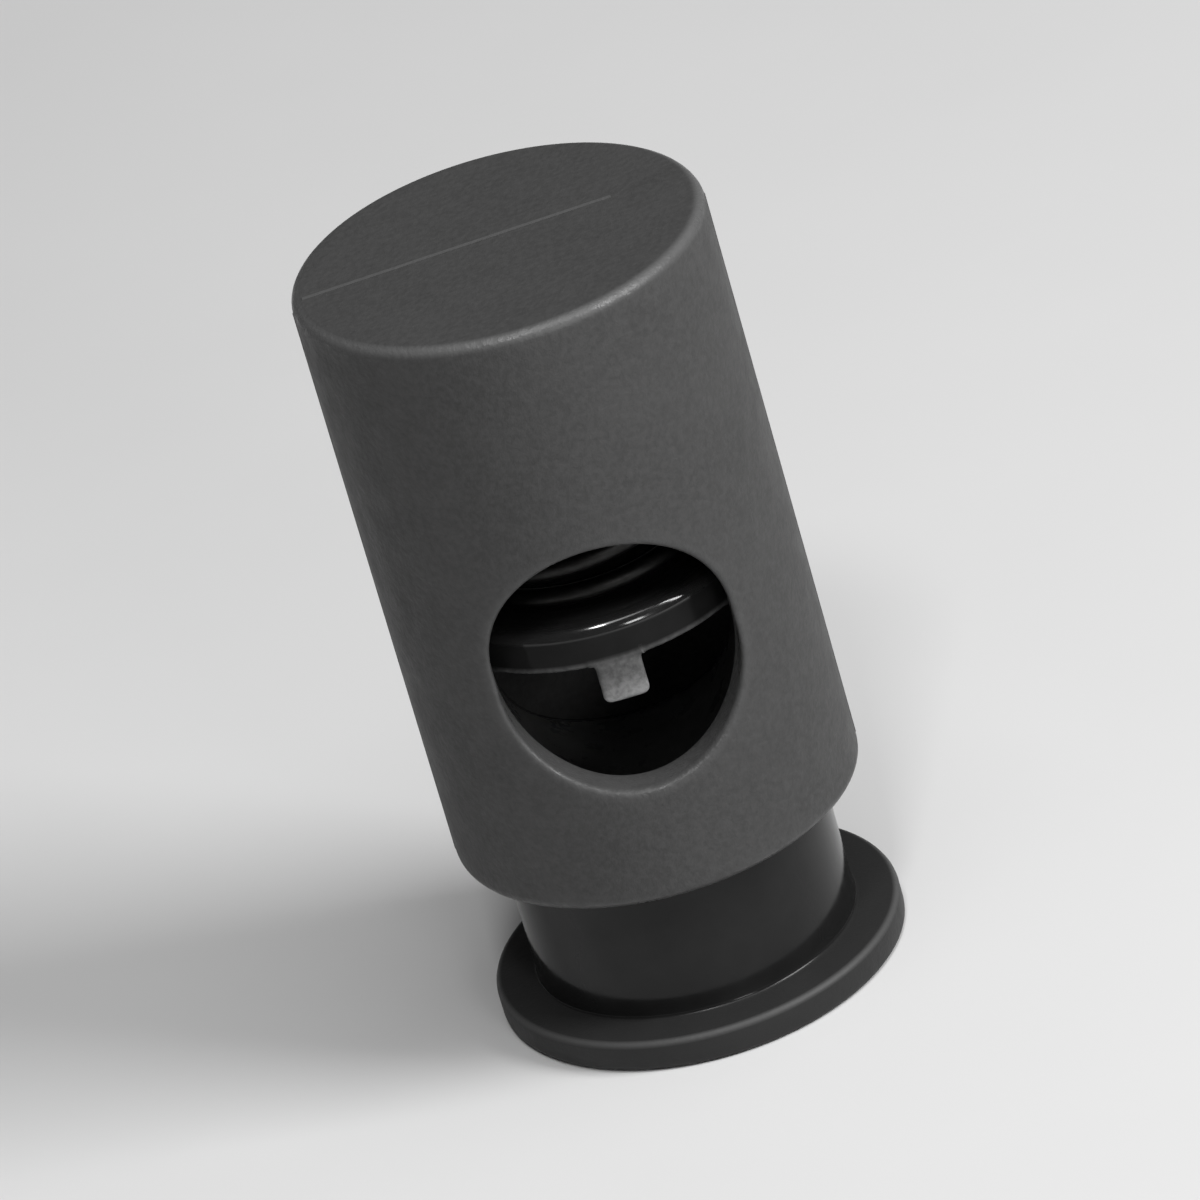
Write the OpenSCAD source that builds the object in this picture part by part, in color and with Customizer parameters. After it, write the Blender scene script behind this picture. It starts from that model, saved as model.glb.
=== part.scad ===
// Cord lock: a barrel that is closed at one end, a plunger with a disc for the
// finger at the other, and the compression spring that drives them apart.
// The cords run along Y, through the hole in the barrel and the eye in the
// plunger. Released, the plunger's lip and tooth pinch them against the lower
// edge of the barrel's hole. Pressed, hole and eye line up and the cords run.
//
// Millimetres, drawn with the plunger released. The origin is the middle of
// the disc's outer face, and +Z points at the barrel's closed end.

/* [Barrel] */
// Outside diameter of the barrel
barrel_d = 13.5; // [12.6:0.1:18]
// Length of the barrel from its closed end to its mouth
barrel_l = 20.8; // [18.2:0.1:30]
// Thickness of the barrel's side wall
barrel_wall = 1.3; // [1.1:0.05:1.6]
// Thickness of the closed end
end_wall = 1.5; // [1:0.1:2.4]
// Radius of the barrel's rounded outer edges
barrel_round = 0.4; // [0.1:0.05:0.6]
// Size of the lead-in chamfer inside the mouth
mouth_chamfer = 0.35; // [0.1:0.05:0.6]

/* [Cord hole] */
// Width of the barrel's cord hole
hole_w = 7.8; // [5:0.1:9.4]
// Height of the barrel's cord hole
hole_h = 8.65; // [7.5:0.05:10.4]
// Distance from the closed end to the hole
hole_from_end = 8.05; // [7:0.05:10]

/* [Plunger] */
// Play all round between the stem and the bore
stem_play = 0.08; // [0.02:0.01:0.1]
// Gap between the barrel's mouth and the disc when released
disc_gap = 5.0; // [4:0.1:6]
// Gap that is left there when fully pressed
pressed_gap = 0.1; // [0.05:0.05:0.5]
// Thickness of the disc
disc_t = 1.1; // [0.8:0.1:2]
// How far the disc stands out past the barrel all round
disc_proud = 0.05; // [0:0.05:1]
// Radius of the disc's rounded edges
disc_round = 0.25; // [0.1:0.05:0.35]
// Radius of the rounded edge at the stem's inner end
stem_round = 0.5; // [0.1:0.05:0.5]

/* [Grip] */
// Height left between the lip and the hole's lower edge when released
grip_h = 4.0; // [2:0.1:5]
// Width of the tooth under the lip
tooth_w = 1.5; // [0.8:0.1:2.5]
// Height of the tooth under the lip
tooth_h = 1.4; // [0.5:0.1:1.8]
// How much wider the eye is than the hole on each side
eye_side = 0.1; // [0:0.05:0.2]
// How far inside the mouth the eye ends when released
eye_inset = 0.6; // [0:0.1:1]
// Thickness of the bridge over the eye, which carries the lip and the spring
bridge_t = 1.5; // [1.2:0.1:2]

/* [Snap lugs] */
// Width of each lug
lug_w = 2.2; // [1.5:0.1:3]
// Length of each lug along the stem
lug_l = 1.8; // [1.4:0.1:2.2]
// How far each lug stands out from the stem
lug_proud = 0.45; // [0.3:0.05:0.5]
// Distance from the stem's inner end to the lugs
lug_from_end = 0.6; // [0.4:0.1:1]
// Play between a lug and the sides of its keyway
lug_play = 0.12; // [0.05:0.01:0.2]

/* [Spring] */
// Outside diameter of the spring
spring_d = 8.4; // [6:0.1:9]
// Diameter of the spring's wire
wire_d = 0.65; // [0.5:0.05:0.8]
// Space between neighbouring turns when the plunger is pressed
coil_gap = 0.08; // [0.02:0.01:0.2]
// Height of the boss inside the closed end that centres the spring
boss_h = 1.0; // [0.5:0.1:1.5]
// Height of the spigot on the stem that centres the spring
spigot_h = 0.6; // [0.3:0.1:1]
// Play all round between the spring and what centres it
centring_play = 0.2; // [0.1:0.05:0.4]

/* [Hidden] */
$fn = 96;
cut = 1;                // how far a cutting shape runs past what it cuts
closed_turns = 1;       // turns at each end of the spring that lie close
closed_pitch = 1.04;    // pitch of those turns, in wire diameters
coil_start = 180;       // where round the axis the lower end of the wire lies
wire_sides = 8;
steps_per_turn = 20;

barrel_r = barrel_d / 2;
bore_r = barrel_r - barrel_wall;
mouth_z = disc_t + disc_gap;
end_z = mouth_z + barrel_l;
ceiling_z = end_z - end_wall;
hole_top_z = end_z - hole_from_end;
hole_bottom_z = hole_top_z - hole_h;

travel = disc_gap - pressed_gap;
stem_r = bore_r - stem_play;
disc_r = barrel_r + disc_proud;

eye_w = hole_w + 2 * eye_side;
eye_bottom_z = mouth_z + eye_inset;
lip_z = hole_bottom_z + grip_h;
stem_top_z = lip_z + bridge_t;

lug_top_z = stem_top_z - lug_from_end;
lug_bottom_z = lug_top_z - lug_l;
lug_r = stem_r + lug_proud;

centring_r = spring_d / 2 - wire_d - centring_play;
spring_l = ceiling_z - stem_top_z;
pressed_l = spring_l - travel;
turns = floor(2 * (pressed_l - wire_d) / (wire_d + coil_gap)) / 2;
coil_r = (spring_d - wire_d) / 2;

// Upright cylinder between two heights, with its outer edges rounded
module rounded_disc(r, z0, z1, edge) {
    rotate_extrude()
        union() {
            translate([0, z0]) square([r - edge, z1 - z0]);
            translate([0, z0 + edge]) square([r, z1 - z0 - 2 * edge]);
            for (z = [z0 + edge, z1 - edge])
                translate([r - edge, z]) circle(r = edge, $fn = 32);
        }
}

// Cuts an outline, drawn in X and Z, right through along Y
module cut_through() {
    rotate([90, 0, 0])
        linear_extrude(height = 2 * (disc_r + cut), center = true) children();
}

// Upright block on each side of the axis, out along X
module both_sides(width, z0, z1) {
    for (side = [0, 180])
        rotate([0, 0, side])
            translate([0, -width / 2, z0]) cube([barrel_r, width, z1 - z0]);
}

// Cord hole: an oval, with straight sides along its longer way
module hole_outline() {
    r = min(hole_w, hole_h) / 2;
    side = hole_w / 2 - r;
    rise = hole_h / 2 - r;
    translate([0, (hole_bottom_z + hole_top_z) / 2]) {
        for (end = [-1, 1]) translate([end * side, end * rise]) circle(r = r);
        if (rise > 0) square([hole_w, 2 * rise], center = true);
        if (side > 0) square([2 * side, hole_h], center = true);
    }
}

// Plunger's eye: round bottom and a straight lip with the tooth under it
module eye_outline() {
    r = eye_w / 2;
    difference() {
        union() {
            translate([0, eye_bottom_z + r]) circle(r = r);
            translate([-r, eye_bottom_z + r]) square([eye_w, lip_z - eye_bottom_z]);
        }
        translate([-eye_w, lip_z]) square([2 * eye_w, eye_w]);
        translate([-tooth_w / 2, lip_z - tooth_h]) square([tooth_w, tooth_h + cut]);
    }
}

// Closed-ended grooves inside the barrel that the snap lugs run in
module keyways() {
    intersection() {
        translate([0, 0, lug_bottom_z])
            cylinder(r = lug_r + stem_play, h = ceiling_z - lug_bottom_z);
        both_sides(lug_w + 2 * lug_play, lug_bottom_z, ceiling_z);
    }
}

// Snap lugs: a ramp on the inner side, and square where they rest on the stop
module lugs() {
    intersection() {
        rotate_extrude()
            polygon([[0, lug_bottom_z], [lug_r, lug_bottom_z],
                     [lug_r, lug_top_z - lug_l / 2], [stem_r, lug_top_z],
                     [0, lug_top_z]]);
        both_sides(lug_w, lug_bottom_z, lug_top_z);
    }
}

module barrel() {
    color([0.24, 0.24, 0.25])
        difference() {
            rounded_disc(barrel_r, mouth_z, end_z, barrel_round);
            difference() {
                union() {
                    translate([0, 0, mouth_z - cut])
                        cylinder(r = bore_r, h = ceiling_z - mouth_z + cut);
                    keyways();
                }
                translate([0, 0, ceiling_z - boss_h]) cylinder(r = centring_r, h = boss_h);
            }
            translate([0, 0, mouth_z - cut])
                cylinder(r1 = bore_r + mouth_chamfer + cut, r2 = bore_r,
                         h = mouth_chamfer + cut);
            cut_through() hole_outline();
        }
}

module plunger() {
    color([0.13, 0.13, 0.14])
        difference() {
            union() {
                rounded_disc(disc_r, 0, disc_t, disc_round);
                rounded_disc(stem_r, 0, stem_top_z, stem_round);
                translate([0, 0, lip_z]) cylinder(r = centring_r, h = bridge_t + spigot_h);
                lugs();
            }
            cut_through() eye_outline();
        }
}

// Height of the wire's middle after t turns: close, open, close again
function coil_z(t) =
    let (close = closed_pitch * wire_d,
         open_turns = turns - 2 * closed_turns,
         open = (spring_l - wire_d - 2 * closed_turns * close) / open_turns)
    stem_top_z + wire_d / 2 + close * min(t, closed_turns)
        + open * max(0, min(t - closed_turns, open_turns))
        + close * max(0, t - closed_turns - open_turns);

// One ring of points round the wire after t turns, with flats facing along Z
function wire_ring(t) =
    let (r = wire_d / 2 / cos(180 / wire_sides))
    [for (k = [0 : wire_sides - 1])
        let (a = (k + 0.5) * 360 / wire_sides, out = coil_r + r * cos(a))
        [out * cos(coil_start + 360 * t), out * sin(coil_start + 360 * t),
         coil_z(t) + r * sin(a)]];

module spring() {
    rings = ceil(turns * steps_per_turn);
    points = [for (i = [0 : rings]) each wire_ring(turns * i / rings)];
    sides = [for (i = [0 : rings - 1], k = [0 : wire_sides - 1])
        let (a = i * wire_sides + k,
             b = i * wire_sides + (k + 1) % wire_sides)
        [a, b, b + wire_sides, a + wire_sides]];
    first_end = [for (k = [wire_sides - 1 : -1 : 0]) k];
    last_end = [for (k = [0 : wire_sides - 1]) rings * wire_sides + k];
    color([0.72, 0.72, 0.74])
        polyhedron(points, concat(sides, [first_end, last_end]), convexity = 10);
}

barrel();
plunger();
spring();
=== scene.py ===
"""Cord lock: a closed barrel, the plunger that slides in it, and the spring between them.

The pieces are modelled in millimetres and brought to metres when they are finished. The origin is
the middle of the disc's outer face, the barrel's closed end is up, and the cords pass along Y.
"""

import logging
import math
from collections.abc import Callable, Sequence
from dataclasses import dataclass, field
from enum import Enum

import bmesh
import bpy
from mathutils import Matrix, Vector


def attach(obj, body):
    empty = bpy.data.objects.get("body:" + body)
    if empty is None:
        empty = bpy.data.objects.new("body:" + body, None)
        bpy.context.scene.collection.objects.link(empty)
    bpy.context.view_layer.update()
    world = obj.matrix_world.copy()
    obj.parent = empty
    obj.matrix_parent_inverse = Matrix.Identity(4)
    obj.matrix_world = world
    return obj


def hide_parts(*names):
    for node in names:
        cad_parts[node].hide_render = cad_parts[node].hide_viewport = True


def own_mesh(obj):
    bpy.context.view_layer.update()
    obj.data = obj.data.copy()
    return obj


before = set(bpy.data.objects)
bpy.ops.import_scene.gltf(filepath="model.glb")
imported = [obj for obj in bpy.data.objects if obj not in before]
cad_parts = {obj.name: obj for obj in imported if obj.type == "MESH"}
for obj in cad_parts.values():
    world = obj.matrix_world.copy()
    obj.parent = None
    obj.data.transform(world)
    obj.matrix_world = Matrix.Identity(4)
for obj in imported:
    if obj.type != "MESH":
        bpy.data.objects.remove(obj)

log = logging.getLogger("cord_lock")

MM = 0.001
TAU = 2 * math.pi
TINY = 0.001            # lengths below this are none
NEAR = 0.004            # points this close share a height or a place along the sheet
CLOSE = 0.02            # points this close to a face lie on it, and normals this small are none
SLACK = 0.05            # room left round what is picked
SKIN = 0.1              # points this close to the outside belong to it
NEARLY = 0.99           # this much of a length or a direction is all of it
SLIVER_AREA = 1e-6
SLIVER_PASSES = 2
NORMAL_WEIGHT = 80
PLASTIC_IOR = 1.5
Point = tuple[float, float, float]
Pair = tuple[float, float]
Test = Callable[..., bool]
ACROSS: Point = (1, 0, 0)       # how much each axis counts for in a distance
UP: Point = (0, 0, 1)
OFF_AXIS: Point = (1, 1, 0)
Edge = bmesh.types.BMEdge
Face = bmesh.types.BMFace
Socket = bpy.types.NodeSocket


class Kind(Enum):
    """What is picked on a mesh."""

    POINTS = "VERT"
    EDGES = "EDGE"
    FACES = "FACE"


class Side(Enum):
    """The sides that the cords pass through, as turns round the wall from the front."""

    FRONT = 0.0
    BACK = math.pi


def off_axis(point: Vector) -> float:
    """Returns how far a point is from the lock's axis."""
    return math.hypot(point.x, point.y)


def middle(edge: Edge) -> Vector:
    """Returns the middle of an edge."""
    return (edge.verts[0].co + edge.verts[1].co) / 2


def select_only(obj: bpy.types.Object) -> None:
    """Selects one object, and makes it the active one.

    Args:
        obj: The object.
    """
    bpy.ops.object.select_all(action="DESELECT")
    obj.select_set(True)
    bpy.context.view_layer.objects.active = obj


def open_at(z: float) -> Test:
    """Returns a test for open edges at a height."""
    return lambda edge: edge.is_boundary and abs(middle(edge).z - z) < NEAR


def on_ring(radius: float, z: float) -> Test:
    """Makes a test for edges on a ring.

    Args:
        radius: The ring's radius.
        z: Its height.

    Returns:
        The test, which wants both ends of an edge on the ring.
    """
    return lambda edge: all(abs(off_axis(point.co) - radius) < CLOSE
                            and abs(point.co.z - z) < NEAR for point in edge.verts)


def on_strip(radius: float, half_width: float, low: float, high: float) -> Test:
    """Makes a test for faces of a round wall, in a strip at the left and at the right.

    Args:
        radius: The wall's radius.
        half_width: Half the strip's width.
        low: Height of its lower end.
        high: Height of its upper end.

    Returns:
        The test.
    """
    half = math.asin(half_width / radius)

    def in_strip(face: Face) -> bool:
        """Tells whether a face lies in the strip.

        Args:
            face: The face.

        Returns:
            Whether its middle does.
        """
        centre = face.calc_center_median()
        turn = abs(math.atan2(centre.y, abs(centre.x)))
        return turn < half and abs(off_axis(centre) - radius) < CLOSE and low < centre.z < high

    return in_strip


def on_sliver(edge: Edge) -> bool:
    """Tells whether an edge is the longest one of a face that has no area.

    Args:
        edge: The edge.

    Returns:
        Whether it is.
    """
    return any(face.calc_area() < SLIVER_AREA
               and edge.calc_length() > NEARLY * max(side.calc_length() for side in face.edges)
               for face in edge.link_faces)


class Workpiece:
    """A mesh on the bench, in millimetres, shaped in edit mode."""

    def __init__(self, name: str) -> None:
        """Starts an empty mesh and opens it for editing.

        Args:
            name: Name of the finished piece.
        """
        self.obj = bpy.data.objects.new(name, bpy.data.meshes.new(name))
        bpy.context.scene.collection.objects.link(self.obj)
        select_only(self.obj)
        bpy.ops.object.mode_set(mode="EDIT")

    def open_mesh(self) -> bmesh.types.BMesh:
        """Returns the mesh that is being edited."""
        return bmesh.from_edit_mesh(self.obj.data)

    def close(self) -> None:
        """Leaves edit mode."""
        bpy.ops.object.mode_set(mode="OBJECT")

    def pick(self, kind: Kind, test: Test) -> None:
        """Selects what passes a test, and nothing else.

        Args:
            kind: Points, edges or faces.
            test: Says whether one of them is wanted.
        """
        bpy.ops.mesh.select_mode(type=kind.value)
        bpy.ops.mesh.select_all(action="DESELECT")
        mesh = self.open_mesh()
        mesh.normal_update()
        items = {Kind.POINTS: mesh.verts, Kind.EDGES: mesh.edges, Kind.FACES: mesh.faces}[kind]
        for item in [item for item in items if test(item)]:
            item.select_set(True)
        mesh.select_flush_mode()
        bmesh.update_edit_mesh(self.obj.data)

    def pick_all(self) -> None:
        """Selects everything."""
        bpy.ops.mesh.select_mode(type="VERT")
        bpy.ops.mesh.select_all(action="SELECT")

    def add_grid(self, columns: int, rows: int, size: Pair, centre: Point) -> None:
        """Adds a flat upright grid that faces the front.

        Args:
            columns: Faces across.
            rows: Faces up.
            size: Width and height.
            centre: Its middle.
        """
        bpy.ops.mesh.select_all(action="DESELECT")
        bpy.ops.mesh.primitive_grid_add(x_subdivisions=columns, y_subdivisions=rows, size=1)
        bpy.ops.transform.resize(value=(size[0], size[1], 1), center_override=(0, 0, 0))
        for point in self.open_mesh().verts:
            if point.select:
                point.co = Vector((point.co.x, 0, point.co.y)) + Vector(centre)
        bmesh.update_edit_mesh(self.obj.data)

    def add_ring(self, places: Sequence[Point]) -> None:
        """Adds a ring of edges and moves its points to their places.

        Args:
            places: Where the points go, in order round the ring.
        """
        self.pick(Kind.POINTS, lambda point: False)
        bpy.ops.mesh.primitive_circle_add(vertices=len(places), radius=1, fill_type="NOTHING")
        added = [point for point in self.open_mesh().verts if point.select]
        for point, place in zip(added, places):
            point.co = place
        bmesh.update_edit_mesh(self.obj.data)

    def bridge(self, test: Test, cuts: int = 0) -> None:
        """Joins two loops of edges with faces.

        Args:
            test: Says whether an edge is on one of the loops.
            cuts: Loops added in between.
        """
        self.pick(Kind.EDGES, test)
        bpy.ops.mesh.bridge_edge_loops(number_cuts=cuts, interpolation="LINEAR")

    def fill(self, test: Test) -> None:
        """Closes a loop of edges with a face, and leaves the face selected.

        Args:
            test: Says whether an edge is on the loop.
        """
        self.pick(Kind.EDGES, test)
        bpy.ops.mesh.edge_face_add()

    def extrude(self, move: Point) -> None:
        """Extrudes what is selected along a line."""
        bpy.ops.mesh.extrude_region_move(TRANSFORM_OT_translate={"value": move})

    def scale(self, across: float) -> None:
        """Scales what is selected in X and Y."""
        bpy.ops.transform.resize(value=(across, across, 1), center_override=(0, 0, 0))

    def swell(self, outward: float) -> None:
        """Extrudes the selected faces along their normals."""
        bpy.ops.mesh.extrude_region_shrink_fatten(
            TRANSFORM_OT_shrink_fatten={"value": outward, "use_even_offset": True})

    def inset(self, width: float) -> None:
        """Insets the selected faces."""
        bpy.ops.mesh.inset(thickness=width, use_even_offset=True)

    def bevel(self, test: Test, size: float, steps: int, slide: bool = True) -> None:
        """Rounds edges.

        Args:
            test: Says whether an edge is rounded.
            size: Width of the rounding on each face.
            steps: Faces across it.
            slide: Whether its sides keep to the edges that are there.
        """
        self.pick(Kind.EDGES, test)
        bpy.ops.mesh.bevel(offset=size, segments=steps, profile=0.5, affect="EDGES",
                           clamp_overlap=False, loop_slide=slide)

    def merge(self, distance: float = 0.002) -> None:
        """Merges points that lie together."""
        self.pick_all()
        bpy.ops.mesh.remove_doubles(threshold=distance)

    def face_outward(self) -> None:
        """Turns all faces outward."""
        self.pick_all()
        bpy.ops.mesh.normals_make_consistent(inside=False)

    def take_in(self, other: "Workpiece") -> None:
        """Joins another workpiece to this one, and opens the result.

        Args:
            other: Workpiece that is used up.
        """
        select_only(self.obj)
        other.obj.select_set(True)
        bpy.ops.object.join()
        bpy.ops.object.mode_set(mode="EDIT")

    def finish(self, smooth_below: float) -> bpy.types.Object:
        """Closes the mesh and finishes the piece.

        Args:
            smooth_below: Edges that turn less than this many degrees are smooth.

        Returns:
            The finished object.
        """
        self.pick_all()
        bpy.ops.mesh.dissolve_degenerate(threshold=TINY)
        for _ in range(SLIVER_PASSES):
            self.pick(Kind.EDGES, on_sliver)
            bpy.ops.mesh.dissolve_edges(use_verts=False)
        self.face_outward()
        self.close()
        return finished(self.obj, smooth_below)


def finished(obj: bpy.types.Object, smooth_below: float) -> bpy.types.Object:
    """Brings a piece to metres and smooths it.

    Args:
        obj: Piece in millimetres.
        smooth_below: Edges that turn less than this many degrees are smooth.

    Returns:
        The same object, at the origin and unscaled.
    """
    select_only(obj)
    obj.scale = (MM, MM, MM)
    bpy.ops.object.transform_apply(location=True, rotation=True, scale=True)
    bpy.ops.object.shade_smooth_by_angle(angle=math.radians(smooth_below))
    weigh = obj.modifiers.new("weigh normals", "WEIGHTED_NORMAL")
    weigh.keep_sharp = True
    weigh.weight = NORMAL_WEIGHT
    bpy.ops.object.modifier_apply(modifier=weigh.name)
    return obj


@dataclass(frozen=True)
class RoundWall:
    """A round wall that is laid out flat, opened at the front and back, and rolled up.

    Along the flat sheet's X runs the way round the wall, and its Z is the wall's own.
    """

    radius: float
    bottom: float
    top: float
    rows: int
    opening_rows: tuple[int, int]
    opening_columns: int
    columns: int = 160
    margin: float = 0.42
    ring_cuts: int = 4

    def lay_out(self, work: Workpiece) -> None:
        """Adds the flat sheet, with the front a quarter of the way along it."""
        length = TAU * self.radius
        work.add_grid(self.columns, self.rows, (length, self.top - self.bottom),
                      (length / 4, 0, (self.top + self.bottom) / 2))

    def row(self, index: int) -> float:
        """Returns the height of one line between rows."""
        return self.bottom + (self.top - self.bottom) * index / self.rows

    def move_row(self, work: Workpiece, z: float) -> None:
        """Moves the nearest line between rows to a height.

        Args:
            work: Workpiece with the flat sheet.
            z: The height.
        """
        step = (self.top - self.bottom) / self.rows
        old = self.row(round((z - self.bottom) / step))
        work.pick(Kind.POINTS, lambda point: abs(point.co.z - old) < NEAR)
        bpy.ops.transform.translate(value=(0, 0, z - old))

    def move_column(self, work: Workpiece, turn: float) -> None:
        """Moves the nearest line between columns to a turn.

        Args:
            work: Workpiece with the flat sheet.
            turn: The turn, in radians from the front.
        """
        step = TAU / self.columns
        old = round(turn / step) * step * self.radius
        work.pick(Kind.POINTS, lambda point: abs(point.co.x - old) < NEAR)
        bpy.ops.transform.translate(value=(turn * self.radius - old, 0, 0))

    def frame_sides(self, work: Workpiece, half_width: float) -> None:
        """Moves lines between columns to both edges of a strip at the left and at the right.

        Args:
            work: Workpiece with the flat sheet.
            half_width: Half the strip's width.
        """
        half = math.asin(half_width / self.radius)
        for quarter in (0.25, -0.25, 0.75):
            for edge in (-half, half):
                self.move_column(work, quarter * TAU + edge)

    def place(self, x: float, z: float, side: Side) -> Pair:
        """Returns where a point seen square on from the front lies along and up the sheet."""
        return self.radius * (math.asin(x / self.radius) + side.value), z

    def open_up(self, work: Workpiece, side: Side,
                outline: Callable[[float], list[Pair]]) -> None:
        """Cuts a window and fits the opening's outline into it with clean rings of faces.

        The rings are raised off the sheet, so that they are bridged the right way round, and
        lie in it again when it is rolled up.

        Args:
            work: Workpiece with the flat sheet.
            side: Front or back.
            outline: Gives the opening's points, with a width added all round.
        """
        low, high = (self.row(index) for index in self.opening_rows)
        centre = side.value * self.radius
        half = self.opening_columns * TAU / self.columns * self.radius

        def in_window(point: Vector, grow: float) -> bool:
            """Tells whether a point is in the window, made wider all round."""
            return abs(point.x - centre) < half + grow and low - grow < point.z < high + grow

        work.pick(Kind.FACES, lambda face: in_window(face.calc_center_median(), 0))
        bpy.ops.mesh.delete(type="FACE")
        for depth, (grow, cuts) in enumerate(((self.margin, self.ring_cuts), (0.0, 0)), start=1):
            edge_of = -NEAR if depth > 1 else NEAR
            places = [self.place(x, z, side) for x, z in outline(grow)]
            work.add_ring([(along, -depth, up) for along, up in places])
            work.bridge(lambda edge: not edge.link_faces or (
                edge.is_boundary and all(in_window(point.co, edge_of) for point in edge.verts)), cuts)

    def roll_up(self, work: Workpiece) -> None:
        """Rolls the flat sheet round the axis and closes its seam.

        Args:
            work: Workpiece with the flat sheet.
        """
        for point in work.open_mesh().verts:
            turn = point.co.x / self.radius
            point.co.x = self.radius * math.sin(turn)
            point.co.y = -self.radius * math.cos(turn)
        bmesh.update_edit_mesh(work.obj.data)
        work.merge()


def ramp(value: float, low: float, high: float) -> float:
    """Returns how far a value is from low to high, eased, from 0 to 1."""
    share = min(1.0, max(0.0, (value - low) / (high - low)))
    return share * share * (3 - 2 * share)


def paint(obj: bpy.types.Object, name: str, amount: Callable[[Vector], float]) -> None:
    """Paints a mask on a finished piece.

    Args:
        obj: The piece, in metres.
        name: Name of the mask, which its finish reads.
        amount: Gives the mask at a place in millimetres.
    """
    mask = obj.data.attributes.new(name, "FLOAT", "POINT")
    values = [amount(point.co / MM) for point in obj.data.vertices]
    mask.data.foreach_set("value", values)


def window_frame(wall: RoundWall) -> list[Pair]:
    """Sets out the window that is cut for an opening.

    Args:
        wall: The wall.

    Returns:
        The window's points, from its lower left corner.
    """
    low, high = (wall.row(index) for index in wall.opening_rows)
    across = 2 * wall.opening_columns
    up = wall.opening_rows[1] - wall.opening_rows[0]
    half = wall.opening_columns * TAU / wall.columns * wall.radius
    right = [(-half + 2 * half * i / across, low) for i in range(across)]
    rise = [(half, low + (high - low) * i / up) for i in range(up)]
    left = [(-x, high) for x, _ in right]
    fall = [(-half, low + high - z) for _, z in rise]
    return right + rise + left + fall


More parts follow.
